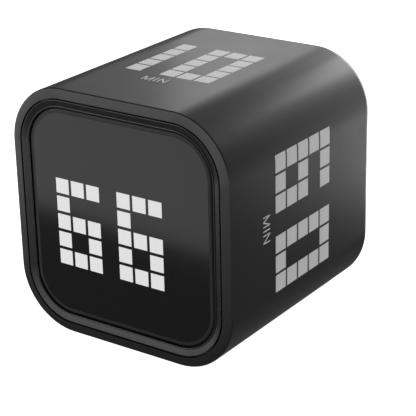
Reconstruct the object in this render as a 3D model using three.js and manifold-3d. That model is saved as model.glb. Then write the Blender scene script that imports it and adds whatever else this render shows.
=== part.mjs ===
// A cube-shaped countdown timer that starts when it is turned on its side.
// The body is a square tube with rounded edges.  A display closes its front
// and a cover with the charging port, mode switch and set button its rear.
// Millimetres, +Z up, +X to the right, front towards -Y, bottom at Z = 0.

import * as THREE from "three";
import { mergeVertices } from "three/addons/utils/BufferGeometryUtils.js";
import Module from "manifold-3d";

const wasm = await Module();
wasm.setup();

// ---------------------------------------------------------------- dimensions

const SIDE = 43; // width and height of the body
const DEPTH = 45; // front plane to rear plane
const CORNER = 10.5; // radius of the four long edges
const WALL = 1.5; // body sleeve
const CLEARANCE = 0.1; // between pieces that slide together

const FRONT = -DEPTH / 2;
const REAR = DEPTH / 2;

// Insets are measured inwards from the outer face of the body.
const FRONT_CHAMFER = 0.15;
const LIP_SLOPE = 0.25; // the lip leans back from its inner edge to its outer edge
const LIP_CREST = 0.1; // flat ring at the lip's inner edge
const LIP_INSET = 1.7; // the sleeve's front lip, which holds the bezel in
const SEAM = 0.25; // dark gap between the lip and the bezel
const BEZEL_INSET = LIP_INSET + SEAM;
const OPENING_INSET = 3.3; // the edge that frames the lens
const CREST = 0.1; // flat ring between the seam and the funnel
const FUNNEL_DEPTH = 0.36;
const LIP_ROUNDING = 0.14; // eases the funnel's inner edge
const FLANGE_INSET = WALL + CLEARANCE / 2;
const POCKET_INSET = 2.7; // inside the bezel, behind the opening
const STACK_INSET = 3; // diffuser, mask and display board

// The display stack, from the front backwards.  The lens has a raised, rounded middle that fills the
// bezel's opening, and a shoulder that the bezel holds.
const LENS_FACE = FRONT + 0.4;
const LENS_GAP = 0.08; // between the raised middle and the opening's wall
const LENS_ROUND = 0.5;
const LENS_ROUND_STEPS = 4;
const LENS_FRONT = FRONT + 1; // the shoulder
const LENS_REAR = LENS_FRONT + 1.5;
const DIFFUSER_REAR = LENS_REAR + 0.4;
const MASK_REAR = DIFFUSER_REAR + 3;
const BOARD_THICKNESS = 1.2;
const DISPLAY_BOARD_REAR = MASK_REAR + BOARD_THICKNESS;
const BEZEL_REAR = MASK_REAR - 0.9;

// Lit squares of the two digits, three across and five down.
const PIXEL = 2.715;
const PIXEL_PITCH = 3.151;
const DIGIT_PITCH = 12.53;
const DIGITS_X = -2.3;
const DIGITS_Z = -1.56;
const COLUMNS = 3;
const ROWS = 5;

// The rear end, from the rear plane forwards.  The cover stands proud of the sleeve.
const COVER_PROUD = 1.6;
const SLEEVE_REAR = REAR - COVER_PROUD;
const REAR_ROUND_INSET = 1.3;
const REAR_ROUND_LENGTH = 1.6;
const REAR_ROUND_STEPS = 6;
const COVER_REAR = REAR;
const COVER_INSET = 2.4;
const COVER_ROUND = 0.5;
const SKIRT_LENGTH = 1.2; // the rim on the cover's inner side, which fits into the sleeve
const SKIRT_WALL = 2;
const COVER_THICKNESS = 2;
const COVER_FRONT = COVER_REAR - COVER_THICKNESS;
const PORT_REAR = COVER_REAR - 0.3;
const PORT_LENGTH = 6.5;
const MAIN_BOARD_REAR = PORT_REAR - PORT_LENGTH;
const MAIN_BOARD_FRONT = MAIN_BOARD_REAR - BOARD_THICKNESS;

// The chassis between the two boards.
const CHASSIS_INSET = WALL + CLEARANCE;
const CHASSIS_WALL = 1.2;
const SHELF_FRONT = -6;
const SHELF_REAR = SHELF_FRONT + 1.2;
const POST = 15; // distance of the cover screws from the middle, both ways
const POST_RADIUS = 2.5;
const BOARD_SCREW = 16.3;

// What is on the rear cover, seen from the middle of the body.
const PORT = { x: 0, z: -12, width: 8.94, height: 3.26 };
const SWITCH = { x: 0, z: 12, travel: 1.5, grip: 3 };
const BUTTON = { x: -10, z: 0, radius: 3.5 };
const BUZZER = { x: 10, z: 0, radius: 4.5, height: 4.2 };
const MAGNET = { x: 10.5, z: 9.2, radius: 4, height: 2 };

const ROUND = 24; // sides of a circle that can be seen
const SMALL_ROUND = 16; // sides of a screw, pin or hole
const CORNER_STEPS = 12; // straight pieces in each rounded corner

// ------------------------------------------------------------ solid building

function toSolid(geometry) {
  const bare = geometry.clone();
  bare.deleteAttribute("normal");
  bare.deleteAttribute("uv");
  const closed = mergeVertices(bare, 1e-5);
  const vertProperties = new Float32Array(closed.attributes.position.array);
  const triVerts = new Uint32Array(closed.index.array);
  return new wasm.Manifold(new wasm.Mesh({ numProp: 3, vertProperties, triVerts }));
}

function toGeometry(solid) {
  const { vertProperties, triVerts } = solid.getMesh();
  const geometry = new THREE.BufferGeometry();
  geometry.setAttribute("position", new THREE.BufferAttribute(vertProperties, 3));
  geometry.setIndex(new THREE.BufferAttribute(triVerts, 1));
  geometry.computeVertexNormals();
  return geometry;
}

// The body's outline in the X-Z plane, moved inwards by an inset.
function squareOutline(inset) {
  const points = [];
  const centre = SIDE / 2 - CORNER;
  const radius = CORNER - inset;
  for (let corner = 0; corner < 4; corner += 1) {
    const start = (corner * Math.PI) / 2;
    const x = centre * Math.sign(Math.cos(start + Math.PI / 4));
    const z = centre * Math.sign(Math.sin(start + Math.PI / 4));
    for (let step = 0; step <= CORNER_STEPS; step += 1) {
      const angle = start + (step / CORNER_STEPS) * (Math.PI / 2);
      points.push(new THREE.Vector2(x + radius * Math.cos(angle), z + radius * Math.sin(angle)));
    }
  }
  return points;
}

// A solid through a row of sections, each an [inset, y] pair, front to rear.
function squareLoft(sections) {
  const rings = sections.map(([inset]) => squareOutline(inset));
  const count = rings[0].length;
  const positions = [];
  rings.forEach((ring, level) => {
    ring.forEach((point) => positions.push(point.x, sections[level][1], point.y));
  });
  const index = [];
  for (let level = 0; level + 1 < rings.length; level += 1) {
    for (let here = 0; here < count; here += 1) {
      const next = (here + 1) % count;
      const a = level * count + here;
      const b = level * count + next;
      index.push(a, a + count, b, b, a + count, b + count);
    }
  }
  const last = (rings.length - 1) * count;
  for (const [a, b, c] of THREE.ShapeUtils.triangulateShape(rings[0], [])) {
    index.push(a, b, c);
  }
  for (const [a, b, c] of THREE.ShapeUtils.triangulateShape(rings[rings.length - 1], [])) {
    index.push(last + a, last + c, last + b);
  }
  const geometry = new THREE.BufferGeometry();
  geometry.setAttribute("position", new THREE.Float32BufferAttribute(positions, 3));
  geometry.setIndex(index);
  return toSolid(geometry);
}

function squarePlate(inset, front, rear) {
  return squareLoft([
    [inset, front],
    [inset, rear],
  ]);
}

// A shape drawn in the X-Z plane, extruded along Y from front to rear.
function prism(shape, front, rear, bevel = 0) {
  const geometry = new THREE.ExtrudeGeometry(shape, {
    depth: rear - front - 2 * bevel,
    bevelEnabled: bevel > 0,
    bevelThickness: bevel,
    bevelSize: bevel,
    bevelOffset: -bevel,
    bevelSegments: 1,
    curveSegments: 3,
  });
  geometry.rotateX(Math.PI / 2);
  geometry.translate(0, rear - bevel, 0);
  return toSolid(geometry);
}

function roundedRectangle(width, height, radius, x = 0, z = 0) {
  const right = width / 2 - radius;
  const top = height / 2 - radius;
  const shape = new THREE.Shape();
  shape.absarc(x + right, z + top, radius, 0, Math.PI / 2);
  shape.absarc(x - right, z + top, radius, Math.PI / 2, Math.PI);
  shape.absarc(x - right, z - top, radius, Math.PI, 1.5 * Math.PI);
  shape.absarc(x + right, z - top, radius, 1.5 * Math.PI, 2 * Math.PI);
  shape.closePath();
  return shape;
}

function disc(radius, front, rear, x = 0, z = 0, sides = ROUND) {
  const geometry = new THREE.CylinderGeometry(radius, radius, rear - front, sides);
  geometry.translate(x, (front + rear) / 2, z);
  return toSolid(geometry);
}

function block(width, height, front, rear, x = 0, z = 0) {
  const geometry = new THREE.BoxGeometry(width, rear - front, height);
  geometry.translate(x, (front + rear) / 2, z);
  return toSolid(geometry);
}

function subtractAll(solid, cutters) {
  return cutters.reduce((rest, cutter) => rest.subtract(cutter), solid);
}

function addAll(solid, others) {
  return others.reduce((whole, other) => whole.add(other), solid);
}

// The four places that mirror a point left to right and top to bottom.
function fourCorners(x, z) {
  return [
    [x, z],
    [-x, z],
    [-x, -z],
    [x, -z],
  ];
}

// --------------------------------------------------------------------- scene

const timer = new THREE.Group();
timer.position.z = SIDE / 2; // the pieces are placed from the middle of the body

function addPiece(name, solid, color, roughness, metalness = 0) {
  const material = new THREE.MeshStandardMaterial({ color, roughness, metalness });
  const mesh = new THREE.Mesh(toGeometry(solid), material);
  mesh.name = name;
  timer.add(mesh);
  return mesh;
}

const BLACK = 0x2b2b2c;
const DARK_PLASTIC = 0x1e1e1f;
const BOARD_GREEN = 0x1d4a2f;
const CHIP = 0x151515;
const STEEL = 0xb8babd;

// --------------------------------------------------------------- outer shell

const SNAPS = [
  [1, 0],
  [0, 1],
  [-1, 0],
  [0, -1],
];
const SNAP_LENGTH = 6;
const SNAP_FRONT = 4;
const SNAP_DEPTH = 1.6;

// A block on the inner side of each wall, where the chassis clips into the sleeve.
function snapBlocks(reach, slack) {
  return SNAPS.map(([x, z]) => {
    const middle = SIDE / 2 - WALL;
    const across = SNAP_LENGTH + 2 * slack;
    const thickness = 2 * reach;
    const width = x ? thickness : across;
    const height = z ? thickness : across;
    const front = SNAP_FRONT - slack;
    return block(width, height, front, SNAP_FRONT + SNAP_DEPTH + slack, x * middle, z * middle);
  });
}

function bodySleeve() {
  const sections = [
    [LIP_INSET - LIP_CREST, FRONT],
    [FRONT_CHAMFER, FRONT + LIP_SLOPE],
    [0, FRONT + LIP_SLOPE + FRONT_CHAMFER],
  ];
  for (let step = 0; step <= REAR_ROUND_STEPS; step += 1) {
    const angle = (step / REAR_ROUND_STEPS) * (Math.PI / 2);
    const inset = REAR_ROUND_INSET * (1 - Math.cos(angle));
    sections.push([inset, SLEEVE_REAR - REAR_ROUND_LENGTH * (1 - Math.sin(angle))]);
  }
  const inside = squarePlate(WALL, LENS_FRONT, REAR + 1);
  const mouth = squarePlate(LIP_INSET, FRONT - 1, LENS_FRONT + 0.5);
  return subtractAll(squareLoft(sections), [inside, mouth, ...snapBlocks(0.5, 0.1)]);
}
addPiece("body_sleeve", bodySleeve(), BLACK, 0.5);

function frontBezel() {
  const ring = squareLoft([
    [BEZEL_INSET, FRONT],
    [BEZEL_INSET, LENS_FRONT],
    [FLANGE_INSET, LENS_FRONT],
    [FLANGE_INSET, BEZEL_REAR],
  ]);
  const crest = BEZEL_INSET + CREST;
  const lip = FRONT + FUNNEL_DEPTH;
  const opening = squareLoft([
    [crest, FRONT - 0.5],
    [crest, FRONT],
    [OPENING_INSET - LIP_ROUNDING, lip - 0.35 * LIP_ROUNDING],
    [OPENING_INSET - 0.35 * LIP_ROUNDING, lip],
    [OPENING_INSET, lip + 0.85 * LIP_ROUNDING],
    [OPENING_INSET, LENS_FRONT + 0.5],
  ]);
  const pocket = squarePlate(POCKET_INSET, LENS_FRONT, BEZEL_REAR + 1);
  return subtractAll(ring, [opening, pocket]);
}
addPiece("front_bezel", frontBezel(), BLACK, 0.42);

// ------------------------------------------------------------- display stack

function displayLens() {
  const middle = OPENING_INSET + LENS_GAP;
  const shoulder = POCKET_INSET + 0.05;
  const sections = [];
  for (let step = LENS_ROUND_STEPS; step >= 0; step -= 1) {
    const angle = (step / LENS_ROUND_STEPS) * (Math.PI / 2);
    const inset = middle + LENS_ROUND * (1 - Math.cos(angle));
    sections.push([inset, LENS_FACE + LENS_ROUND * (1 - Math.sin(angle))]);
  }
  sections.push([middle, LENS_FRONT], [shoulder, LENS_FRONT], [shoulder, LENS_REAR]);
  return squareLoft(sections);
}
addPiece("display_lens", displayLens(), 0x1b1b1c, 0.12);
addPiece("diffuser_sheet", squarePlate(STACK_INSET, LENS_REAR, DIFFUSER_REAR), 0xf2f2ee, 0.6);

// Calls place(x, z) for each of the display's square cells.
function everyPixel(place) {
  const cells = [];
  for (const side of [-0.5, 0.5]) {
    for (let column = 0; column < COLUMNS; column += 1) {
      for (let row = 0; row < ROWS; row += 1) {
        const x = DIGITS_X + side * DIGIT_PITCH + (column - (COLUMNS - 1) / 2) * PIXEL_PITCH;
        const z = DIGITS_Z + ((ROWS - 1) / 2 - row) * PIXEL_PITCH;
        cells.push(place(x, z));
      }
    }
  }
  return cells;
}

function pixelMask() {
  const plate = squarePlate(STACK_INSET, DIFFUSER_REAR, MASK_REAR);
  const windows = everyPixel((x, z) => block(PIXEL, PIXEL, DIFFUSER_REAR - 1, MASK_REAR + 1, x, z));
  return subtractAll(plate, windows);
}
addPiece("pixel_mask", pixelMask(), DARK_PLASTIC, 0.6);

const LAMP = { width: 1.6, height: 0.8, thickness: 0.6 };

// The board with one lamp soldered behind each window of the mask.
function displayBoard() {
  const board = squarePlate(STACK_INSET, MASK_REAR, DISPLAY_BOARD_REAR);
  const front = MASK_REAR - LAMP.thickness;
  const lamps = everyPixel((x, z) => block(LAMP.width, LAMP.height, front, MASK_REAR + 0.1, x, z));
  return addAll(board, lamps);
}
addPiece("display_board", displayBoard(), BOARD_GREEN, 0.5);

const CABLE_Z = -15.2;
const CABLE_WIDTH = 8;
const CABLE_THICKNESS = 0.3;
const CABLE_BOW = 0.9;
const SOCKET_HEIGHT = 1.2;
const LEG_THICKNESS = 0.3;
const LEG_REACH = 0.6; // how far a chip's legs stand out on each side

// A chip with a row of legs on two sides, its flat side on a board at y.
function chip(size, thickness, y, x, z, legs) {
  const rear = y + (thickness > 0 ? thickness : 0);
  const front = y + (thickness > 0 ? 0 : thickness);
  const body = block(size, size, front, rear, x, z);
  const leg = thickness > 0 ? [y, y + LEG_THICKNESS] : [y - LEG_THICKNESS, y];
  const pitch = (size * 0.8) / legs;
  const rows = [];
  for (let number = 0; number < legs; number += 1) {
    const offset = (number - (legs - 1) / 2) * pitch;
    rows.push(block(size + 2 * LEG_REACH, pitch / 2, leg[0], leg[1], x, z + offset));
  }
  return addAll(body, rows);
}
addPiece("display_driver", chip(5, 1.2, DISPLAY_BOARD_REAR, 0, 4, 6), CHIP, 0.55);

function ribbonSocket(front, rear) {
  const housing = block(CABLE_WIDTH + 3, 3, front, rear, 0, CABLE_Z);
  const slot = block(CABLE_WIDTH + 0.4, CABLE_THICKNESS + 0.4, front - 1, rear + 1, 0, CABLE_Z);
  return housing.subtract(slot);
}
addPiece(
  "display_ribbon_socket",
  ribbonSocket(DISPLAY_BOARD_REAR, DISPLAY_BOARD_REAR + SOCKET_HEIGHT),
  0xe6e1d2,
  0.5,
);
addPiece(
  "main_ribbon_socket",
  ribbonSocket(MAIN_BOARD_FRONT - SOCKET_HEIGHT, MAIN_BOARD_FRONT),
  0xe6e1d2,
  0.5,
);

// A flat cable with a soft bow, so that the boards can be taken apart.
function displayRibbon() {
  const start = DISPLAY_BOARD_REAR + 0.2;
  const end = MAIN_BOARD_FRONT - 0.2;
  const path = new THREE.CatmullRomCurve3([
    new THREE.Vector3(0, start, CABLE_Z),
    new THREE.Vector3(0, start + 3, CABLE_Z),
    new THREE.Vector3(0, (start + end) / 2 + 3, CABLE_Z - CABLE_BOW),
    new THREE.Vector3(0, end - 3, CABLE_Z),
    new THREE.Vector3(0, end, CABLE_Z),
  ]);
  const section = new THREE.Shape([
    new THREE.Vector2(-CABLE_WIDTH / 2, -CABLE_THICKNESS / 2),
    new THREE.Vector2(CABLE_WIDTH / 2, -CABLE_THICKNESS / 2),
    new THREE.Vector2(CABLE_WIDTH / 2, CABLE_THICKNESS / 2),
    new THREE.Vector2(-CABLE_WIDTH / 2, CABLE_THICKNESS / 2),
  ]);
  return toSolid(new THREE.ExtrudeGeometry(section, { steps: 16, extrudePath: path }));
}
addPiece("display_ribbon", displayRibbon(), 0xd9d4c6, 0.45);

// ----------------------------------------------------- chassis and battery

const LEAD_X = 17;
const LEAD_Z = [8.4, 6.2];
const LEAD_RADIUS = 0.42;
const DISPLAY_SUPPORT_INSET = 4.2; // opening in the chassis behind the display board
const LUG = { width: 4.2, height: 4, length: 6 };
const COVER_PILOT = 1; // radius of the holes that the screws cut their thread in
const BOARD_PILOT = 0.75;

function innerChassis() {
  const chassisInner = CHASSIS_INSET + CHASSIS_WALL;
  const outer = squarePlate(CHASSIS_INSET, DISPLAY_BOARD_REAR, MAIN_BOARD_FRONT);
  const behindDisplay = squarePlate(DISPLAY_SUPPORT_INSET, DISPLAY_BOARD_REAR - 1, DISPLAY_BOARD_REAR + 2);
  const bays = [
    squarePlate(chassisInner, DISPLAY_BOARD_REAR + 1, SHELF_FRONT),
    squarePlate(chassisInner, SHELF_REAR, MAIN_BOARD_FRONT + 1),
    behindDisplay,
    block(CABLE_WIDTH + 3, 3.6, SHELF_FRONT - 1, SHELF_REAR + 1, 0, CABLE_Z - 0.4),
    block(2.6, 7, SHELF_FRONT - 1, SHELF_REAR + 1, LEAD_X, (LEAD_Z[0] + LEAD_Z[1]) / 2),
  ];
  const posts = fourCorners(POST, POST).map(([x, z]) =>
    disc(POST_RADIUS, SHELF_REAR - 0.5, COVER_FRONT - CLEARANCE, x, z),
  );
  const lugs = [-1, 1].map((side) =>
    block(LUG.width, LUG.height, MAIN_BOARD_FRONT - LUG.length, MAIN_BOARD_FRONT, side * (BOARD_SCREW + 0.5)),
  );
  const pilots = [
    ...fourCorners(POST, POST).map(([x, z]) => disc(COVER_PILOT, COVER_FRONT - 8, REAR, x, z, SMALL_ROUND)),
    ...[-1, 1].map((side) =>
      disc(BOARD_PILOT, MAIN_BOARD_FRONT - 4.5, REAR, side * BOARD_SCREW, 0, SMALL_ROUND),
    ),
  ];
  const frame = subtractAll(outer, bays);
  return subtractAll(addAll(frame, [...posts, ...lugs, ...snapBlocks(0.4, 0)]), pilots);
}
addPiece("inner_chassis", innerChassis(), 0x3a3a3c, 0.55);

const CELL = { width: 29, height: 24, thickness: 5 };
const CELL_FRONT = SHELF_FRONT - CELL.thickness;
const cellShape = roundedRectangle(CELL.width, CELL.height, 2);
addPiece("battery_cell", prism(cellShape, CELL_FRONT, SHELF_FRONT, 1), 0xb9bcc0, 0.35, 0.6);

const PLUG = { x: 12.6, width: 4, front: 9.3, rear: 11.8 };
const plugZ = (LEAD_Z[0] + LEAD_Z[1]) / 2 - 0.6;

function batteryPlug() {
  const housing = block(PLUG.width, 6, PLUG.front, PLUG.rear, PLUG.x, plugZ);
  const holes = LEAD_Z.map((z) => disc(0.6, PLUG.front - 1, PLUG.front + 1.6, PLUG.x, z - 0.6, 12));
  return subtractAll(housing, holes);
}
addPiece("battery_plug", batteryPlug(), 0xece8dc, 0.5);
const socketBody = block(PLUG.width + 1, 7, PLUG.rear + 0.05, MAIN_BOARD_FRONT, PLUG.x, plugZ);
addPiece("battery_socket", socketBody, 0xece8dc, 0.5);

// An insulated wire from the end of the cell, through the shelf, to the plug.
function batteryLead(z) {
  const middle = (CELL_FRONT + SHELF_FRONT) / 2;
  const path = new THREE.CatmullRomCurve3([
    new THREE.Vector3(CELL.width / 2 + 0.4, middle, z),
    new THREE.Vector3(LEAD_X - 0.4, middle + 0.3, z),
    new THREE.Vector3(LEAD_X, SHELF_REAR, z),
    new THREE.Vector3(LEAD_X - 1, 1.5, z - 0.2),
    new THREE.Vector3(PLUG.x + 0.9, 5.5, z - 0.5),
    new THREE.Vector3(PLUG.x, PLUG.front - 1.2, z - 0.6),
    new THREE.Vector3(PLUG.x, PLUG.front + 1.2, z - 0.6),
  ]);
  const section = new THREE.Shape().absarc(0, 0, LEAD_RADIUS, 0, 2 * Math.PI);
  return toSolid(new THREE.ExtrudeGeometry(section, { steps: 18, curveSegments: 4, extrudePath: path }));
}
addPiece("battery_lead_red", batteryLead(LEAD_Z[0]), 0xb02020, 0.45);
addPiece("battery_lead_black", batteryLead(LEAD_Z[1]), 0x1a1a1a, 0.45);

const MOTOR = { x: -8, z: -5, radius: 5, thickness: 3 };
const motorCan = disc(MOTOR.radius, SHELF_REAR, SHELF_REAR + MOTOR.thickness, MOTOR.x, MOTOR.z);
addPiece("vibration_motor", motorCan, STEEL, 0.3, 0.9);

// ----------------------------------------------------------------- main board

function mainBoard() {
  const board = squarePlate(CHASSIS_INSET + 0.1, MAIN_BOARD_FRONT, MAIN_BOARD_REAR);
  const diagonal = Math.hypot(POST, POST) - POST_RADIUS - 0.3; // clear of the cover's posts
  const corners = [0, 1, 2, 3].map((corner) => {
    const geometry = new THREE.BoxGeometry(SIDE, 3 * BOARD_THICKNESS, SIDE);
    geometry.translate(diagonal + SIDE / 2, MAIN_BOARD_FRONT, 0);
    geometry.rotateY(Math.PI / 4 + (corner * Math.PI) / 2);
    return toSolid(geometry);
  });
  const holes = [-1, 1].map((side) =>
    disc(0.85, MAIN_BOARD_FRONT - 1, MAIN_BOARD_REAR + 1, side * BOARD_SCREW, 0, SMALL_ROUND),
  );
  return subtractAll(board, [...corners, ...holes]);
}
addPiece("main_board", mainBoard(), BOARD_GREEN, 0.5);
addPiece("microcontroller", chip(7, -1.4, MAIN_BOARD_FRONT, -4, 2, 8), CHIP, 0.55);
addPiece("tilt_sensor", chip(3, -1, MAIN_BOARD_FRONT, -8, 11, 4), CHIP, 0.55);
addPiece("charge_controller", chip(3, -1, MAIN_BOARD_FRONT, -8, -9, 4), CHIP, 0.55);
const coil = disc(2.2, MAIN_BOARD_FRONT - 2, MAIN_BOARD_FRONT, 6, -9);
addPiece("charge_coil", coil, 0x2f2f33, 0.6);

const PORT_WALL = 0.3;
const TONGUE = { width: 6.7, height: 0.7 };

// The port's outline, moved inwards by an inset.
function portOutline(inset) {
  const radius = PORT.height / 2 - 0.1 - inset;
  return roundedRectangle(PORT.width - 2 * inset, PORT.height - 2 * inset, radius, PORT.x, PORT.z);
}

// A metal shell, open at the rear, around the port's contact tongue.
function portReceptacle() {
  const shell = prism(portOutline(0), MAIN_BOARD_REAR, PORT_REAR);
  const hollow = prism(portOutline(PORT_WALL), MAIN_BOARD_REAR + 1.6, PORT_REAR + 1);
  const front = MAIN_BOARD_REAR + 1;
  const tongue = block(TONGUE.width, TONGUE.height, front, PORT_REAR - 0.8, PORT.x, PORT.z);
  return shell.subtract(hollow).add(tongue);
}
addPiece("charging_port", portReceptacle(), 0xc4c6c9, 0.28, 1);

const SWITCH_TOP = MAIN_BOARD_REAR + 3.4;
const LEVER = 1.3; // width and height of the switch's lever

function slideSwitchBody() {
  const can = block(9, 3.6, MAIN_BOARD_REAR, SWITCH_TOP, SWITCH.x, SWITCH.z);
  const slotWidth = 2 * SWITCH.travel + LEVER + 0.5;
  const slot = block(slotWidth, LEVER + 0.3, SWITCH_TOP - 1.5, REAR, SWITCH.x, SWITCH.z);
  return can.subtract(slot);
}
addPiece("slide_switch_body", slideSwitchBody(), STEEL, 0.35, 0.9);

const TACT_TOP = MAIN_BOARD_REAR + 2.5;
const PLUNGER_RADIUS = 1.7;

function tactSwitchBody() {
  const base = block(6, 6, MAIN_BOARD_REAR, TACT_TOP, BUTTON.x, BUTTON.z);
  const well = disc(PLUNGER_RADIUS + 0.1, TACT_TOP - 1.5, TACT_TOP + 1, BUTTON.x, BUTTON.z);
  return base.subtract(well);
}
addPiece("tact_switch_body", tactSwitchBody(), CHIP, 0.45);

function buzzerCan() {
  const top = MAIN_BOARD_REAR + BUZZER.height;
  const can = disc(BUZZER.radius, MAIN_BOARD_REAR, top, BUZZER.x, BUZZER.z);
  return can.subtract(disc(0.9, top - 1, top + 1, BUZZER.x, BUZZER.z, SMALL_ROUND));
}
addPiece("buzzer", buzzerCan(), CHIP, 0.5);

function buzzerGasket() {
  const front = MAIN_BOARD_REAR + BUZZER.height;
  const ring = disc(BUZZER.radius - 0.1, front, COVER_FRONT, BUZZER.x, BUZZER.z);
  return ring.subtract(disc(3.4, front - 1, COVER_FRONT + 1, BUZZER.x, BUZZER.z));
}
addPiece("buzzer_gasket", buzzerGasket(), 0x101010, 0.95);

// ----------------------------------------------------------------- rear cover

const RECESS_DEPTH = 0.8; // finger recess around the mode switch
const SCREW_RECESS = 1.3;
const SLOT = { width: 2 * SWITCH.travel + SWITCH.grip + 0.2, height: 2.4 };
const PORT_GAP = 0.18; // between the port and its opening in the cover
const BUTTON_GAP = 0.15;
const SOUND_HOLE = { radius: 0.55, circle: 2, count: 6, sides: 12 };
const MAGNET_POCKET = 1.1;

function rearCover() {
  const plate = squareLoft([
    [CHASSIS_INSET, COVER_FRONT - SKIRT_LENGTH],
    [CHASSIS_INSET, SLEEVE_REAR - CLEARANCE],
    [COVER_INSET, SLEEVE_REAR - CLEARANCE],
    [COVER_INSET, COVER_REAR - COVER_ROUND],
    [COVER_INSET + 0.3 * COVER_ROUND, COVER_REAR - 0.3 * COVER_ROUND],
    [COVER_INSET + COVER_ROUND, COVER_REAR],
  ]);
  const through = [COVER_FRONT - 1, REAR + 1];
  const port = portOutline(-PORT_GAP);
  const finger = roundedRectangle(SLOT.width + 3, SLOT.height + 2.6, 1.4, SWITCH.x, SWITCH.z);
  const slot = roundedRectangle(SLOT.width, SLOT.height, 0.5, SWITCH.x, SWITCH.z);
  const cutters = [
    squarePlate(CHASSIS_INSET + SKIRT_WALL, COVER_FRONT - SKIRT_LENGTH - 1, COVER_FRONT),
    prism(port, ...through),
    prism(finger, COVER_REAR - RECESS_DEPTH, REAR + 1),
    prism(slot, ...through),
    disc(BUTTON.radius + BUTTON_GAP, ...through, BUTTON.x, BUTTON.z),
    disc(SOUND_HOLE.radius, ...through, BUZZER.x, BUZZER.z, SOUND_HOLE.sides),
  ];
  for (let hole = 0; hole < SOUND_HOLE.count; hole += 1) {
    const angle = (2 * Math.PI * hole) / SOUND_HOLE.count;
    const x = BUZZER.x + SOUND_HOLE.circle * Math.cos(angle);
    const z = BUZZER.z + SOUND_HOLE.circle * Math.sin(angle);
    cutters.push(disc(SOUND_HOLE.radius, ...through, x, z, SOUND_HOLE.sides));
  }
  for (const [x, z] of fourCorners(POST, POST)) {
    cutters.push(disc(POST_RADIUS + 0.2, COVER_FRONT - SKIRT_LENGTH - 1, COVER_FRONT, x, z));
    cutters.push(disc(1.1, ...through, x, z, SMALL_ROUND));
    cutters.push(disc(1.95, COVER_REAR - SCREW_RECESS, REAR + 1, x, z));
  }
  for (const [x, z] of fourCorners(MAGNET.x, MAGNET.z)) {
    cutters.push(disc(MAGNET.radius + CLEARANCE, COVER_FRONT - 1, COVER_FRONT + MAGNET_POCKET, x, z));
  }
  return subtractAll(plate, cutters);
}
addPiece("rear_cover", rearCover(), BLACK, 0.55);

function magnetAt(name, x, z) {
  const rear = COVER_FRONT + MAGNET_POCKET;
  addPiece(name, disc(MAGNET.radius, rear - MAGNET.height, rear, x, z), 0xc9cacc, 0.25, 1);
}
fourCorners(MAGNET.x, MAGNET.z).forEach(([x, z], number) => magnetAt(`magnet_${number + 1}`, x, z));

// A pan-head screw along Y with its head at the rear and a crossed recess.
function screw(headRadius, headHeight, shankRadius, length) {
  const profile = [
    new THREE.Vector2(0, -length),
    new THREE.Vector2(shankRadius * 0.6, -length),
    new THREE.Vector2(shankRadius, -length + 0.6),
    new THREE.Vector2(shankRadius, 0),
    new THREE.Vector2(headRadius, 0),
    new THREE.Vector2(headRadius, headHeight * 0.6),
    new THREE.Vector2(headRadius * 0.8, headHeight),
    new THREE.Vector2(0, headHeight),
  ];
  const bodySolid = toSolid(new THREE.LatheGeometry(profile, SMALL_ROUND));
  const arm = headRadius * 1.1;
  const across = block(arm, arm / 4, headHeight * 0.4, headHeight + 1);
  const upright = block(arm / 4, arm, headHeight * 0.4, headHeight + 1);
  return subtractAll(bodySolid, [across, upright]);
}

const coverScrew = screw(1.8, 1, 0.92, 7);
fourCorners(POST, POST).forEach(([x, z], number) => {
  const mesh = addPiece(`cover_screw_${number + 1}`, coverScrew, 0x9a9c9f, 0.35, 0.9);
  mesh.position.set(x, COVER_REAR - SCREW_RECESS, z);
});

const boardScrew = screw(1.3, 0.8, 0.65, 4.5);
[-1, 1].forEach((side, number) => {
  const mesh = addPiece(`board_screw_${number + 1}`, boardScrew, 0x9a9c9f, 0.35, 0.9);
  mesh.position.set(side * BOARD_SCREW, MAIN_BOARD_REAR, 0);
});

// -------------------------------------------------------------- moving pieces

const KNOB_LEDGE = COVER_FRONT - 0.15; // the knob's flange runs behind the cover
const GROOVE = { width: 0.35, pitch: 0.9, depth: 0.25 };
const LEVER_SOCKET = 1.4;
const SOCKET_DEPTH = 0.4; // wall left between the lever's socket and the ledge

// The mode switch slides along X between off, vibrate and sound.
function switchKnob() {
  const ledge = KNOB_LEDGE;
  const flange = block(SLOT.width + 2 * SWITCH.travel, 4.4, ledge - 0.7, ledge, SWITCH.x, SWITCH.z);
  const grip = roundedRectangle(SWITCH.grip, SLOT.height - 0.2, 0.4, SWITCH.x, SWITCH.z);
  const cap = prism(grip, ledge - 0.1, COVER_REAR, 0.15);
  const grooves = [-1, 0, 1].map((place) =>
    block(GROOVE.width, 4, COVER_REAR - GROOVE.depth, REAR + 1, SWITCH.x + place * GROOVE.pitch, SWITCH.z),
  );
  const socket = block(LEVER_SOCKET, LEVER_SOCKET, ledge - 1.6, ledge - SOCKET_DEPTH, SWITCH.x, SWITCH.z);
  return subtractAll(flange.add(cap), grooves).subtract(socket);
}
addPiece("mode_switch_knob", switchKnob(), 0x8d8f92, 0.5);

const leverTop = KNOB_LEDGE - SOCKET_DEPTH - 0.02;
const lever = block(LEVER, LEVER, SWITCH_TOP - 1.3, leverTop, SWITCH.x, SWITCH.z);
addPiece("mode_switch_lever", lever, 0x1a1a1a, 0.5);

const BUTTON_FLANGE = BUTTON.radius + 0.7;

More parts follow.
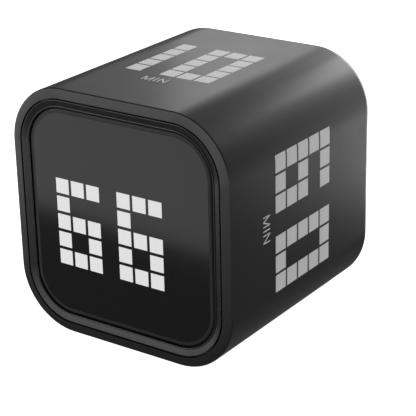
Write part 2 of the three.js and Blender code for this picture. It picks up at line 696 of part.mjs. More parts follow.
// The set button is pressed inwards and comes back by itself.
function setButton() {
  const flangeFront = TACT_TOP + 0.7;
  const profile = [
    new THREE.Vector2(0, flangeFront),
    new THREE.Vector2(BUTTON_FLANGE, flangeFront),
    new THREE.Vector2(BUTTON_FLANGE, COVER_FRONT - CLEARANCE),
    new THREE.Vector2(BUTTON.radius, COVER_FRONT - CLEARANCE),
    new THREE.Vector2(BUTTON.radius, COVER_REAR - 0.2),
    new THREE.Vector2(BUTTON.radius - 0.25, COVER_REAR),
    new THREE.Vector2(BUTTON.radius - 1.1, COVER_REAR - 0.15),
    new THREE.Vector2(0, COVER_REAR - 0.25),
  ];
  const geometry = new THREE.LatheGeometry(profile, ROUND);
  geometry.translate(BUTTON.x, 0, BUTTON.z);
  return toSolid(geometry);
}
addPiece("set_button", setButton(), 0x8d8f92, 0.45);

const plunger = disc(PLUNGER_RADIUS, TACT_TOP - 0.8, TACT_TOP + 0.65, BUTTON.x, BUTTON.z, SMALL_ROUND);
addPiece("tact_switch_plunger", plunger, 0x1a1a1a, 0.5);

export default timer;
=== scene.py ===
# %% [markdown]
# # A cube countdown timer
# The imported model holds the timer's solids, its joints and its sizes. This lesson gives it its looks: the
# smooth moulded tube, the framed display, the screen-printed times, the controls on the rear and a
# finish for every piece inside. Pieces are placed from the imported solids. The rings' profiles, the prints'
# places, the camera and the lights are stated as measures, some of them found by trial.

# %% Load the frame
import math

import bmesh
import bpy
from mathutils import Matrix, Vector


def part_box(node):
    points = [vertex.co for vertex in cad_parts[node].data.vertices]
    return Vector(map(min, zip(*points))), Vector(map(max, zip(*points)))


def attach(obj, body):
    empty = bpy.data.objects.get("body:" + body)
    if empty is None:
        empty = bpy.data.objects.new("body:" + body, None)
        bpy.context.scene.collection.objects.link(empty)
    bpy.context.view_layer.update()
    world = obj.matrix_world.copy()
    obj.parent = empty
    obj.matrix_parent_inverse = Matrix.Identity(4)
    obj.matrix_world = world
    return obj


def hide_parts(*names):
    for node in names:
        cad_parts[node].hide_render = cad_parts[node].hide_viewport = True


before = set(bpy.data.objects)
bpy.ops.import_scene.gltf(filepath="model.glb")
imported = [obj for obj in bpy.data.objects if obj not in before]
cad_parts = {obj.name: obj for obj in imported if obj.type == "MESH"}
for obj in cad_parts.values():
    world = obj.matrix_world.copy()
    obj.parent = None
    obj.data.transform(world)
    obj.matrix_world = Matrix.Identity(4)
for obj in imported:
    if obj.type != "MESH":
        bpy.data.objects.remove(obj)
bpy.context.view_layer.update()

MM = 0.001

# %% [markdown]
# ## Driving sizes
# A maker would take these off the drawing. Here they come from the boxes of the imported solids: the tube
# gives the side and the depth, the lens and the bezel give their own planes. The corner radius, the ink,
# the insets of the rings and the lens's shoulder are stated, because a box can't tell them.

# %% Sizes
tube_low, tube_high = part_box("body_sleeve")
SIDE = tube_high.x - tube_low.x
FRONT = tube_low.y
REAR = tube_high.y
MIDDLE = Vector((0, 0, (tube_low.z + tube_high.z) / 2))
CORNER = 10.5 * MM
INK = 0.03 * MM  # thickness of the printed ink, which the shell is made smaller by
LIP_INSET = 1.7 * MM
BEZEL_INSET = 1.95 * MM
OPENING_INSET = 3.3 * MM
LENS_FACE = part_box("display_lens")[0].y
LENS_SHOULDER = FRONT + 1 * MM
BEZEL_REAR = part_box("front_bezel")[1].y
print("side", round(SIDE / MM, 2), "depth", round((REAR - FRONT) / MM, 2), "mm")

# %% [markdown]
# ## Camera
# The picture is taken with a long lens from the right of the front and a little above, so the front and
# the right side both show. The camera is built from its angles and the point it looks at, because that
# is how a photographer would note it down. A small roll levels the picture the way it was held.

# %% Camera
LOOK_AT = Vector((2.6, -1.4, 18.3)) * MM
CAMERA_AZIMUTH = math.radians(35.26)
CAMERA_ELEVATION = math.radians(22.04)
CAMERA_ROLL = math.radians(-1.28)
CAMERA_DISTANCE = 254 * MM
CAMERA_LENS = 129.3  # focal length in millimetres, on a sensor 36 mm wide


def add_camera():
    forward = Vector((
        -math.sin(CAMERA_AZIMUTH) * math.cos(CAMERA_ELEVATION),
        math.cos(CAMERA_AZIMUTH) * math.cos(CAMERA_ELEVATION),
        -math.sin(CAMERA_ELEVATION),
    ))
    data = bpy.data.cameras.new("camera")
    data.lens = CAMERA_LENS
    data.sensor_width = 36
    data.clip_start = 0.01
    camera = bpy.data.objects.new("camera", data)
    bpy.context.collection.objects.link(camera)
    facing = forward.to_track_quat("-Z", "Y").to_matrix().to_4x4()
    roll = Matrix.Rotation(CAMERA_ROLL, 4, "Z")
    camera.matrix_world = Matrix.Translation(LOOK_AT - forward * CAMERA_DISTANCE) @ facing @ roll
    bpy.context.scene.camera = camera
    return camera


camera = add_camera()
print("camera at", [round(v / MM, 1) for v in camera.matrix_world.translation])

# %% [markdown]
# ## Floor and light
# A product picture of a black object needs a white surround and large, soft lights, because a glossy black
# surface shows little else than what it reflects. Each lamp is an area light aimed at the timer. A lamp is
# either a lit sheet or a dim card, and its power follows from its brightness and its size. The floor
# and the surround are white to the eye, but they give the timer only a little light of their own.

# %% Studio
SURROUND_LIGHT = 0.14


def soft_light(name, azimuth, elevation, distance, size, brightness, tilt=0):
    """An area light at an angle around the timer, azimuth 0 being in front and 90 on the right."""
    data = bpy.data.lights.new(name, "AREA")
    data.shape = "RECTANGLE"
    data.size = size[0] * MM
    data.size_y = size[1] * MM
    data.energy = brightness * data.size * data.size_y
    lamp = bpy.data.objects.new(name, data)
    bpy.context.collection.objects.link(lamp)
    turn = math.radians(azimuth)
    rise = math.radians(elevation)
    outward = Vector((math.sin(turn) * math.cos(rise), -math.cos(turn) * math.cos(rise), math.sin(rise)))
    aim = (-outward).to_track_quat("-Z", "Y").to_matrix().to_4x4()
    spin = Matrix.Rotation(math.radians(tilt), 4, "Z")
    lamp.matrix_world = Matrix.Translation(MIDDLE + outward * distance * MM) @ aim @ spin
    lamp.visible_camera = False
    return lamp


def white_surround():
    world = bpy.data.worlds.new("surround")
    bpy.context.scene.world = world
    world.use_nodes = True
    tree = world.node_tree
    background = tree.nodes["Background"]
    seen = tree.nodes.new("ShaderNodeLightPath")
    strength = tree.nodes.new("ShaderNodeMix")
    strength.inputs["A"].default_value = SURROUND_LIGHT
    strength.inputs["B"].default_value = 1.0
    tree.links.new(seen.outputs["Is Camera Ray"], strength.inputs["Factor"])
    tree.links.new(strength.outputs["Result"], background.inputs["Strength"])
    background.inputs["Color"].default_value = (1, 1, 1, 1)


def white_floor():
    mesh = bpy.data.meshes.new("floor")
    sheet = bmesh.new()
    bmesh.ops.create_grid(sheet, x_segments=1, y_segments=1, size=3)
    sheet.to_mesh(mesh)
    sheet.free()
    floor = bpy.data.objects.new("floor", mesh)
    bpy.context.collection.objects.link(floor)
    material = bpy.data.materials.new("floor_white")
    material.use_nodes = True
    shader = material.node_tree.nodes["Principled BSDF"]
    shader.inputs["Base Color"].default_value = (0.9, 0.9, 0.9, 1)
    shader.inputs["Roughness"].default_value = 0.9
    shader.inputs["Emission Color"].default_value = (1, 1, 1, 1)
    shader.inputs["Emission Strength"].default_value = 1.0
    mesh.materials.append(material)
    floor.visible_diffuse = False
    floor.visible_glossy = False
    floor.visible_shadow = False


SHEET = 14.0  # brightness of a lit sheet, in watts for each square metre
CARD = 3.0  # brightness of a card that only returns some light

LIGHTS = [
    # name, azimuth, elevation, distance, size, brightness and tilt
    ("back_sheet", 185, 22, 400, (140, 120), SHEET),
    ("back_left_card", 215, 22, 400, (140, 120), CARD / 2),
    ("top_mirror_card", 205, 28, 140, (60, 50), CARD),
    ("rear_strip", 165, 8, 120, (50, 130), SHEET),
    ("right_rear_card", 145, 8, 120, (50, 130), CARD / 2),
    ("right_low_sheet", 80, -15, 300, (120, 80), SHEET),
    ("right_front_card", 60, -10, 400, (160, 120), CARD),
    ("top_sheet", 0, 88, 120, (40, 40), SHEET),
    ("left_sheet", 260, -5, 300, (140, 200), SHEET),
    ("left_front_card", 295, -5, 280, (100, 160), CARD),
    ("front_sheet", 325, 18, 300, (160, 100), SHEET),
    ("front_low_card", 325, -5, 280, (240, 160), CARD, -18),
    ("front_right_card", 350, -5, 280, (100, 160), CARD),
]
for settings in LIGHTS:
    soft_light(*settings)
white_surround()
white_floor()
bpy.context.scene.view_settings.view_transform = "Standard"
print("lights:", len(LIGHTS))

# %% [markdown]
# ## Tools for making a piece
# Most moulded pieces of this timer are a rounded square pushed along the depth. So the first tools start
# from a cube, round its four long edges and then step its end face: every step moves the face inwards, out
# or in along the depth, or both, and leaves a ring behind it. A ring of steps is how a turner would cut
# the same profile, and it keeps every corner arc smooth.

# %% Rounded square tools
CORNER_SEGMENTS = 24


def rounded_bar(inset, front, rear, segments=CORNER_SEGMENTS):
    """A bar with the timer's outline moved inwards, from one depth to another."""
    shape = bmesh.new()
    width = SIDE - 2 * inset
    bmesh.ops.create_cube(shape, size=1)
    bmesh.ops.scale(shape, vec=(width, rear - front, width), verts=shape.verts)
    bmesh.ops.translate(shape, vec=MIDDLE + Vector((0, (front + rear) / 2, 0)), verts=shape.verts)
    long_edges = [e for e in shape.edges if abs(e.verts[0].co.y - e.verts[1].co.y) > (rear - front) / 2]
    bmesh.ops.bevel(
        shape, geom=long_edges, offset=CORNER - inset, offset_type="OFFSET", segments=segments,
        profile=0.5, affect="EDGES", material=-1, clamp_overlap=False,
    )
    return shape


def end_face(shape, direction):
    """The largest face that looks to the front (-1) or to the rear (1)."""
    faces = [f for f in shape.faces if f.normal.y * direction > 0.99]
    return max(faces, key=lambda f: (f.calc_center_median().y * direction, f.calc_area()))


def step_face(shape, face, inward, outward):
    """Shrinks a face by inward and moves it along its own direction by outward."""
    if inward > 0:
        bmesh.ops.inset_region(shape, faces=[face], thickness=inward, depth=0, use_even_offset=True)
        bmesh.ops.translate(shape, vec=face.normal * outward, verts=face.verts)
        return face
    wall = bmesh.ops.extrude_discrete_faces(shape, faces=[face])
    moved = wall["faces"][0]
    bmesh.ops.translate(shape, vec=moved.normal * outward, verts=moved.verts)
    return moved


def round_lip(shape, face, inward, outward, steps, outer=True):
    """Steps a face along a quarter of an ellipse: outer eases off from the side, else from the face."""
    for step in range(steps):
        a = math.pi / 2 * step / steps
        b = math.pi / 2 * (step + 1) / steps
        if outer:
            across = inward * (math.cos(a) - math.cos(b))
            along = outward * (math.sin(b) - math.sin(a))
        else:
            across = inward * (math.sin(b) - math.sin(a))
            along = outward * (math.cos(a) - math.cos(b))
        face = step_face(shape, face, across, along)
    return face


def open_through(shape, first, second):
    """Turns a bar with two equal end faces into a tube."""
    edges = list(first.edges) + list(second.edges)
    bmesh.ops.delete(shape, geom=[first, second], context="FACES_ONLY")
    bmesh.ops.bridge_loops(shape, edges=edges)


# %% [markdown]
# ## Tools for finishing a piece
# A real moulding has no perfectly sharp edge: a fine bevel catches the light and makes an edge readable.
# The bevel is a modifier with the same number of segments everywhere, so its width can differ from piece
# to piece. Weighted normals keep the large flats flat while the arcs stay smooth.

# %% Finish a piece


def add_piece(name, shape, material, body="housing", stands_for=(), bevel=0.0, sharp=40):
    """Makes the object, smooths its arcs, gives it a material and ties it to its body."""
    bmesh.ops.recalc_face_normals(shape, faces=shape.faces)
    open_edges = sum(1 for edge in shape.edges if len(edge.link_faces) != 2)
    mesh = bpy.data.meshes.new(name)
    shape.to_mesh(mesh)
    shape.free()
    mesh.shade_smooth()
    mesh.set_sharp_from_angle(angle=math.radians(sharp))
    mesh.materials.append(material)
    piece = bpy.data.objects.new(name, mesh)
    bpy.context.collection.objects.link(piece)
    if bevel:
        rounding = piece.modifiers.new("fine_edges", "BEVEL")
        rounding.width = bevel
        rounding.segments = 2
        rounding.limit_method = "ANGLE"
        rounding.angle_limit = math.radians(sharp)
        rounding.harden_normals = False
        rounding.miter_outer = "MITER_ARC"
    weighted = piece.modifiers.new("flat_flats", "WEIGHTED_NORMAL")
    weighted.keep_sharp = True
    if stands_for:
        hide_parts(*stands_for)
    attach(piece, body)
    print(name, len(mesh.polygons), "faces,", open_edges, "open edges")
    return piece


def merged_copy(node):
    """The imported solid's own shape with its loose triangles joined into whole faces."""
    shape = bmesh.new()
    shape.from_mesh(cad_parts[node].data)
    bmesh.ops.remove_doubles(shape, verts=shape.verts, dist=1e-6)
    bmesh.ops.dissolve_limit(
        shape, angle_limit=math.radians(1), verts=shape.verts, edges=shape.edges,
        use_dissolve_boundaries=False,
    )
    return shape


# %% [markdown]
# ## The moulded skin
# Moulded plastic is never one flat colour. Spark erosion leaves a fine grain in the mould, the flow of the
# melt leaves wide, faint changes of gloss, and fingers polish it a little more. One node group makes these
# three from noise in object space, so every plastic of the timer shares it with its own values.

# %% Shared noise group


def node(tree, kind, values=(), **settings):
    """Adds a node, sets its properties and then its input values."""
    made = tree.nodes.new(kind)
    for key, value in settings.items():
        setattr(made, key, value)
    for key, value in dict(values).items():
        made.inputs[key].default_value = value
    return made


def maths(tree, operation, first, second):
    """A math node whose two inputs are sockets or numbers."""
    made = tree.nodes.new("ShaderNodeMath")
    made.operation = operation
    for index, value in enumerate((first, second)):
        if isinstance(value, (int, float)):
            made.inputs[index].default_value = value
        else:
            tree.links.new(value, made.inputs[index])
    return made.outputs[0]


def noise(tree, place, scale, detail):
    """Noise between 0 and 1 whose scale is a number or a socket."""
    made = node(tree, "ShaderNodeTexNoise", {"Detail": detail, "Roughness": 0.55})
    tree.links.new(place, made.inputs["Vector"])
    if isinstance(scale, (int, float)):
        made.inputs["Scale"].default_value = scale
    else:
        tree.links.new(scale, made.inputs["Scale"])
    return made.outputs["Fac"]


def make_skin_group():
    group = bpy.data.node_groups.new("moulded_skin", "ShaderNodeTree")
    face = group.interface
    for name, value in (("Grain Size", 0.2 * MM), ("Roughness", 0.45), ("Unevenness", 0.1)):
        face.new_socket(name, in_out="INPUT", socket_type="NodeSocketFloat").default_value = value
    for name in ("Roughness", "Height", "Tone"):
        face.new_socket(name, in_out="OUTPUT", socket_type="NodeSocketFloat")
    start = group.nodes.new("NodeGroupInput")
    end = group.nodes.new("NodeGroupOutput")
    place = group.nodes.new("ShaderNodeTexCoord").outputs["Object"]
    grain_scale = maths(group, "DIVIDE", 1.0, start.outputs["Grain Size"])
    grain = noise(group, place, grain_scale, 2)
    flow = noise(group, place, 45, 2)
    touch = noise(group, place, 160, 3)
    spread = start.outputs["Unevenness"]
    flow_part = maths(group, "MULTIPLY", maths(group, "SUBTRACT", flow, 0.5), spread)
    touch_part = maths(group, "MULTIPLY", maths(group, "SUBTRACT", touch, 0.5), spread)
    grain_part = maths(group, "MULTIPLY", maths(group, "SUBTRACT", grain, 0.5), spread)
    roughness = maths(group, "ADD", start.outputs["Roughness"], flow_part)
    roughness = maths(group, "ADD", roughness, touch_part)
    roughness = maths(group, "ADD", roughness, grain_part)
    group.links.new(roughness, end.inputs["Roughness"])
    group.links.new(grain, end.inputs["Height"])
    group.links.new(maths(group, "ADD", 1.0, maths(group, "ADD", grain_part, flow_part)), end.inputs["Tone"])
    return group


skin_group = make_skin_group()
print("skin group has", len(skin_group.nodes), "nodes")

# %% [markdown]
# ## Plastics, metals and boards
# A material here is a Principled shader with the skin group on its colour, roughness and bump. The same
# maker serves matt shell plastic, glossy acrylic, resin, foam and plated steel: what differs is how dark,
# how rough, how metallic and how coarse the grain is.

# %% Material maker


def finish(name, color, roughness, grain=0.2, bump=0.2, uneven=0.1, metallic=0.0):
    """A material with the moulded skin: grain in millimetres, bump as the strength of its relief."""
    material = bpy.data.materials.new(name)
    material.use_nodes = True
    tree = material.node_tree
    shader = tree.nodes["Principled BSDF"]
    shader.inputs["Metallic"].default_value = metallic
    skin = tree.nodes.new("ShaderNodeGroup")
    skin.node_tree = skin_group
    skin.inputs["Grain Size"].default_value = grain * MM
    skin.inputs["Roughness"].default_value = roughness
    skin.inputs["Unevenness"].default_value = uneven
    tree.links.new(skin.outputs["Roughness"], shader.inputs["Roughness"])
    tone = node(tree, "ShaderNodeMix", data_type="RGBA", blend_type="MULTIPLY")
    tone.inputs["Factor"].default_value = 1
    tone.inputs["A"].default_value = (*color, 1)
    tree.links.new(skin.outputs["Tone"], tone.inputs["B"])
    tree.links.new(tone.outputs["Result"], shader.inputs["Base Color"])
    relief = node(tree, "ShaderNodeBump", {"Strength": bump, "Distance": 0.05 * MM})
    tree.links.new(skin.outputs["Height"], relief.inputs["Height"])
    tree.links.new(relief.outputs["Normal"], shader.inputs["Normal"])
    return material


def grey(value):
    return (value, value, value * 1.01)


shell_plastic = finish("shell_plastic", grey(0.012), 0.29, grain=0.12, bump=0.08, uneven=0.05)
bezel_plastic = finish("bezel_plastic", grey(0.012), 0.27, grain=0.12, bump=0.08, uneven=0.05)
smoked_acrylic = finish("smoked_acrylic", grey(0.006), 0.09, grain=1.5, bump=0.01, uneven=0.02)
border_black = finish("border_black", grey(0.004), 0.6, grain=0.1, bump=0.05, uneven=0.05)
white_ink = finish("white_ink", grey(0.9), 0.6, grain=0.08, bump=0.15, uneven=0.05)
inner_plastic = finish("inner_plastic", grey(0.06), 0.55, grain=0.3, bump=0.3)
milky_sheet = finish("milky_sheet", (0.85, 0.85, 0.82), 0.5, grain=0.4, bump=0.1)
board_mask = finish("board_mask", (0.015, 0.09, 0.035), 0.35, grain=0.6, bump=0.15, uneven=0.15)
chip_resin = finish("chip_resin", grey(0.02), 0.5, grain=0.1, bump=0.3)
connector_plastic = finish("connector_plastic", (0.75, 0.72, 0.6), 0.45, grain=0.2)
ribbon_film = finish("ribbon_film", (0.6, 0.52, 0.36), 0.3, grain=0.5, bump=0.1)
cell_foil = finish("cell_foil", (0.62, 0.63, 0.65), 0.3, grain=0.5, bump=0.35, metallic=0.9)
lead_red = finish("lead_red", (0.45, 0.02, 0.02), 0.45, grain=0.3)
lead_black = finish("lead_black", grey(0.02), 0.45, grain=0.3)
plated_steel = finish(
    "plated_steel", (0.42, 0.42, 0.43), 0.42, grain=0.15, bump=0.08, uneven=0.15, metallic=1
)
nickel = finish("nickel", (0.55, 0.54, 0.51), 0.3, grain=0.4, bump=0.05, metallic=1)
black_foam = finish("black_foam", grey(0.02), 0.95, grain=0.15, bump=0.9)
control_plastic = finish("control_plastic", grey(0.2), 0.45, grain=0.1, bump=0.2)


def lit_window():
    """Milky plastic with a lamp behind it: it glows evenly."""
    material = finish("lit_window", grey(0.5), 0.5, grain=0.15, bump=0.05, uneven=0.05)
    shader = material.node_tree.nodes["Principled BSDF"]
    shader.inputs["Emission Color"].default_value = (1, 1, 1, 1)
    shader.inputs["Emission Strength"].default_value = 0.45
    return material


lit_plastic = lit_window()
print("materials:", len(bpy.data.materials))

# %% [markdown]
# ## The tube
# The body is one square tube, moulded in one piece. It could be a cube with a Bevel and a Solidify, but then
# its front edge and its rear edge would be the same. Stepping the two end faces gives each its own
# profile: in front a fine chamfer and a lip that leans back a little, and a long soft rounding behind.

# %% Body shell
FRONT_CHAMFER = 0.15 * MM
LIP_SLOPE = 0.25 * MM
LIP_CREST = 0.1 * MM
REAR_ROUND = (1.3 * MM, 1.6 * MM)


def body_shell():
    shape = rounded_bar(INK, FRONT + LIP_SLOPE + FRONT_CHAMFER, REAR - REAR_ROUND[1], 2 * CORNER_SEGMENTS)
    front = step_face(shape, end_face(shape, -1), FRONT_CHAMFER, FRONT_CHAMFER)
    front = step_face(shape, front, LIP_INSET - LIP_CREST - INK - FRONT_CHAMFER, LIP_SLOPE)
    front = step_face(shape, front, LIP_CREST, 0)
    rear = round_lip(shape, end_face(shape, 1), REAR_ROUND[0], REAR_ROUND[1], 8)
    rear = step_face(shape, rear, LIP_INSET - INK - REAR_ROUND[0], 0)
    open_through(shape, front, rear)
    return add_piece("body_shell", shape, shell_plastic, stands_for=["body_sleeve"], sharp=30)


shell = body_shell()

# %% [markdown]
# ## The bezel
# A second ring sits inside the tube's mouth. It is stepped from the front: a narrow crest, a funnel that
# slopes in, a round bead that catches a thin line of light, and a short wall down to the lens. The gap
# between the tube and the crest is what shows as a thin black line.

# %% Bezel ring
CREST = 0.14 * MM
EASED = 0.09 * MM
FUNNEL = (0.91 * MM, 0.34 * MM)
BEAD_RISE = (0.14 * MM, 0.12 * MM)
BEAD_FALL = (0.16 * MM, 0.2 * MM)
FLANGE_INSET = 1.55 * MM
POCKET_INSET = 2.7 * MM


def bezel_ring():
    shape = rounded_bar(FLANGE_INSET, LENS_SHOULDER, BEZEL_REAR)
    crest = step_face(shape, end_face(shape, -1), BEZEL_INSET - FLANGE_INSET, 0)
    crest = step_face(shape, crest, 0, LENS_SHOULDER - FRONT - EASED)
    crest = round_lip(shape, crest, EASED, EASED, 3)
    opening = step_face(shape, crest, CREST - EASED, 0)
    opening = step_face(shape, opening, FUNNEL[0], -FUNNEL[1])
    opening = round_lip(shape, opening, *BEAD_RISE, 4)
    opening = round_lip(shape, opening, BEAD_FALL[0], -BEAD_FALL[1], 5, outer=False)
    wall = LENS_SHOULDER - opening.calc_center_median().y
    opening = step_face(shape, opening, 0, -wall)
    pocket = step_face(shape, end_face(shape, 1), POCKET_INSET - FLANGE_INSET, 0)
    pocket = step_face(shape, pocket, 0, LENS_SHOULDER - BEZEL_REAR)
    pocket = step_face(shape, pocket, OPENING_INSET - POCKET_INSET, 0)
    bmesh.ops.delete(shape, geom=[opening, pocket], context="FACES_ONLY")
    bmesh.ops.remove_doubles(shape, verts=shape.verts, dist=0.01 * MM)
    return add_piece("bezel_ring", shape, bezel_plastic, stands_for=["front_bezel"])


bezel = bezel_ring()

# %% [markdown]
# ## The lens
# The lens is a plate of smoked acrylic with a raised middle that comes forward into the bezel's opening.
# The middle's rounded edge turns down into a narrow groove. A dull black border is printed around it, which
# hides the groove and shows as a soft black line. The acrylic is so dark that only lit windows show
# through, so it is made as dark gloss with the lit windows on it.

# %% Lens
LENS_GAP = 0.08 * MM
LENS_ROUND = 0.5 * MM
LENS_BORDER = 0.35 * MM  # the printed border's width on the flat


def lens_plate():
    low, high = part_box("display_lens")
    inset = (SIDE - (high.x - low.x)) / 2
    shape = rounded_bar(inset, LENS_SHOULDER, high.y)
    front = step_face(shape, end_face(shape, -1), OPENING_INSET + LENS_GAP - inset, 0)
    front = step_face(shape, front, 0, LENS_SHOULDER - low.y - LENS_ROUND)
    front = round_lip(shape, front, LENS_ROUND, LENS_ROUND, 8)
    front = step_face(shape, front, LENS_BORDER, 0)
    for face in shape.faces:
        face.material_index = 1
    front.material_index = 0
    plate = add_piece("lens_plate", shape, smoked_acrylic, stands_for=["display_lens"])
    plate.data.materials.append(border_black)
    return plate


lens = lens_plate()

# %% [markdown]
# ## Digits of square cells
# Every number on the timer is drawn in the same way, on three columns and five rows of square cells. The
# patterns are written as rows of text, so a reader can see the digit in the code. A one has only its
# last column and a narrower place.

# %% Digit patterns
PATTERNS = {
    "0": ["###", "#.#", "#.#", "#.#", "###"],
    "1": ["#", "#", "#", "#", "#"],
    "3": ["###", "..#", "###", "..#", "###"],
    "5": ["###", "#..", "###", "..#", "###"],
    "6": ["###", "#..", "###", "#.#", "###"],
}


def cell_places(digits, cell, gap, space):
    """Centres of the cells of two digits, measured from the middle of the space between the digits."""
    pitch = cell + gap
    left, right = (PATTERNS[d] for d in digits)
    starts = (-space / 2 - len(left[0]) * pitch + gap, space / 2)
    places = []
    for pattern, start in zip((left, right), starts):
        for row, line in enumerate(pattern):
            for column, mark in enumerate(line):
                if mark == "#":
                    places.append((start + column * pitch + cell / 2, (2 - row) * pitch))
    return places


# %% [markdown]
# ## Lit windows
# The display's windows are square and sharp, because the mask behind the lens cuts the light off. Each is
# a thin tile laid on the lens's face.

# %% Lit windows
LIT = {"cell": 2.6 * MM, "gap": 0.54 * MM, "space": 3.6 * MM}
LIT_MIDDLE = Vector((-2.27 * MM, 0, 19.94 * MM))
TILE = 0.02 * MM


def lit_windows():
    shape = bmesh.new()
    for across, up in cell_places("66", **LIT):
        tile = bmesh.ops.create_cube(shape, size=1)["verts"]
        bmesh.ops.scale(shape, vec=(LIT["cell"], TILE, LIT["cell"]), verts=tile)
        place = LIT_MIDDLE + Vector((across, LENS_FACE - TILE / 2, up))
        bmesh.ops.translate(shape, vec=place, verts=tile)
    return add_piece("lit_windows", shape, lit_plastic)


windows = lit_windows()

# %% [markdown]
# ## Printed times
# The four sides carry a time each, screen-printed in a white ink that stands a few hundredths of a
# millimetre proud. A print is laid flat on the top side first, bent over the rounded edge where it reaches
# that far, and then turned about the depth axis to its own side, as the tube would be turned in the press.

# %% Printed times
INK_CELL = {"cell": 2.96 * MM, "gap": 0.435 * MM, "space": 3.94 * MM}
FLAT_HALF = SIDE / 2 - CORNER


def wrap_over_edge(shape):
    """Bends whatever reaches past the flat of the top side down around the rounded edge."""
    for vert in shape.verts:
        past = abs(vert.co.x) - FLAT_HALF
        if past > 0:
            angle = past / CORNER
            radius = vert.co.z - FLAT_HALF
            vert.co.x = math.copysign(FLAT_HALF + radius * math.sin(angle), vert.co.x)
            vert.co.z = FLAT_HALF + radius * math.cos(angle)


def stroke(shape, start, end, width, pieces=1):
    """A flat bar of ink from one point to another, in the plane of the top side."""
    run = Vector((end[0] - start[0], end[1] - start[1], 0))
    bar = bmesh.ops.create_grid(shape, x_segments=pieces, y_segments=1, size=0.5)["verts"]
    bmesh.ops.scale(shape, vec=(run.length, width, 1), verts=bar)
    turn = Matrix.Rotation(math.atan2(run.y, run.x), 3, "Z")
    bmesh.ops.rotate(shape, cent=(0, 0, 0), matrix=turn, verts=bar)
    middle = Vector(((start[0] + end[0]) / 2, (start[1] + end[1]) / 2, 0))
    bmesh.ops.translate(shape, vec=middle, verts=bar)


LETTER = {"height": 1.95 * MM, "width": 1.6 * MM, "narrow": 1.3 * MM, "line": 0.2 * MM, "gap": 0.65 * MM}


def unit_label(shape, middle):
    """The unit of time in thin letters: strokes of one width, centred on a point."""
    height = LETTER["height"] / 2
    wide = LETTER["width"] / 2
    narrow = LETTER["narrow"] / 2
    total = LETTER["width"] + LETTER["narrow"] + LETTER["line"] + 2 * LETTER["gap"]
    m_middle = middle[0] - total / 2 + wide
    i_middle = m_middle + wide + LETTER["gap"] + LETTER["line"] / 2
    n_middle = i_middle + LETTER["line"] / 2 + LETTER["gap"] + narrow
    y = middle[1]
    lines = [
        ((m_middle - wide, y - height), (m_middle - wide, y + height)),
        ((m_middle - wide, y + height), (m_middle, y - height)),
        ((m_middle, y - height), (m_middle + wide, y + height)),
        ((m_middle + wide, y + height), (m_middle + wide, y - height)),
        ((i_middle, y - height), (i_middle, y + height)),
        ((n_middle - narrow, y - height), (n_middle - narrow, y + height)),
        ((n_middle - narrow, y + height), (n_middle + narrow, y - height)),
        ((n_middle + narrow, y - height), (n_middle + narrow, y + height)),
    ]
    for start, end in lines:
        stroke(shape, start, end, LETTER["line"])


def printed_side(name, digits, digits_middle, label_middle, turn):
    """A printed side: its digits and label are placed on the top side, then turned about the depth."""
    shape = bmesh.new()
    for across, up in cell_places(digits, **INK_CELL):
        x = digits_middle[0] + across
        y = digits_middle[1] + up
        half = INK_CELL["cell"] / 2
        stroke(shape, (x - half, y), (x + half, y), INK_CELL["cell"], pieces=4)
    unit_label(shape, label_middle)
    bmesh.ops.recalc_face_normals(shape, faces=shape.faces)
    bmesh.ops.translate(shape, vec=(0, 0, SIDE / 2 - INK), verts=shape.verts)
    whole = bmesh.ops.extrude_face_region(shape, geom=list(shape.faces))["geom"]
    raised = [v for v in whole if isinstance(v, bmesh.types.BMVert)]
    bmesh.ops.translate(shape, vec=(0, 0, INK), verts=raised)
    wrap_over_edge(shape)
    to_side = Matrix.Rotation(math.radians(turn), 3, "Y")
    bmesh.ops.rotate(shape, cent=(0, 0, 0), matrix=to_side, verts=shape.verts)
    bmesh.ops.translate(shape, vec=MIDDLE, verts=shape.verts)
    return add_piece(name, shape, white_ink)


SIDES = [
    # name, digits, middle of the digits, middle of the label, turn about the depth
    ("print_top", "10", (-3.86 * MM, 0.33 * MM), (-0.74 * MM, -10.5 * MM), 0),
    ("print_right", "60", (-0.7 * MM, -1.41 * MM), (-0.94 * MM, -12.3 * MM), 90),
    ("print_bottom", "30", (0, -0.5 * MM), (0, -11.4 * MM), 180),
    ("print_left", "05", (0, -0.5 * MM), (0, -11.4 * MM), 270),
]
for side in SIDES:
    printed_side(*side)

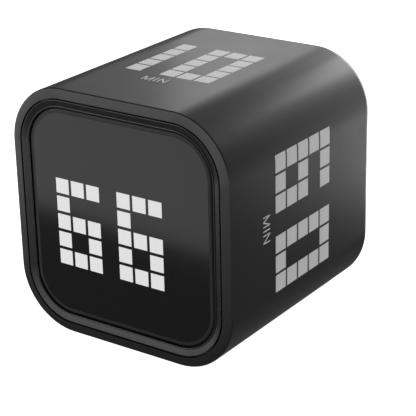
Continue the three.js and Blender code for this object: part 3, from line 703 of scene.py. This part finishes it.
# %% [markdown]
# ## The rear: cover, controls and screws
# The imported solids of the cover, the button, the knob, the port and the screws already have the right shape,
# only with hard facets. A merged copy of each, with a fine bevel and smooth arcs, is the quickest
# way to a finished look that can't drift from the drawing.

# %% Rear pieces


def refined(node_name, material, body="housing", bevel=0.08, sharp=40):
    """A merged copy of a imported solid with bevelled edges, in place of the solid."""
    shape = merged_copy(node_name)
    name = node_name + "_fine"
    return add_piece(name, shape, material, body, [node_name], bevel * MM, sharp)


refined("rear_cover", shell_plastic, bevel=0.1)
refined("mode_switch_knob", control_plastic, "mode_switch", bevel=0.06)
refined("set_button", control_plastic, "set_key", bevel=0.08)
refined("charging_port", plated_steel, bevel=0.05)
for number in range(4):
    refined(f"cover_screw_{number + 1}", plated_steel, bevel=0.04)

# %% [markdown]
# ## The pieces inside
# Nothing inside shows until the timer is opened, but an exploded or cut view needs every piece finished. The
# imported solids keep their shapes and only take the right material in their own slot.

# %% Materials of the inner pieces
INNER = {
    "inner_plastic": (inner_plastic, ["inner_chassis", "pixel_mask"]),
    "milky_sheet": (milky_sheet, ["diffuser_sheet"]),
    "board_mask": (board_mask, ["display_board", "main_board"]),
    "chip_resin": (chip_resin, [
        "display_driver", "microcontroller", "tilt_sensor", "charge_controller", "charge_coil",
        "buzzer", "tact_switch_body", "tact_switch_plunger", "mode_switch_lever",
    ]),
    "connector_plastic": (connector_plastic, [
        "display_ribbon_socket", "main_ribbon_socket", "battery_plug", "battery_socket",
    ]),
    "ribbon_film": (ribbon_film, ["display_ribbon"]),
    "cell_foil": (cell_foil, ["battery_cell"]),
    "lead_red": (lead_red, ["battery_lead_red"]),
    "lead_black": (lead_black, ["battery_lead_black"]),
    "plated_steel": (plated_steel, [
        "slide_switch_body", "vibration_motor", "board_screw_1", "board_screw_2",
    ]),
    "nickel": (nickel, ["magnet_1", "magnet_2", "magnet_3", "magnet_4"]),
    "black_foam": (black_foam, ["buzzer_gasket"]),
}
for material, names in INNER.values():
    for name in names:
        for material_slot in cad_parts[name].material_slots:
            material_slot.material = material
print("finished inside:", sum(len(names) for _, names in INNER.values()))
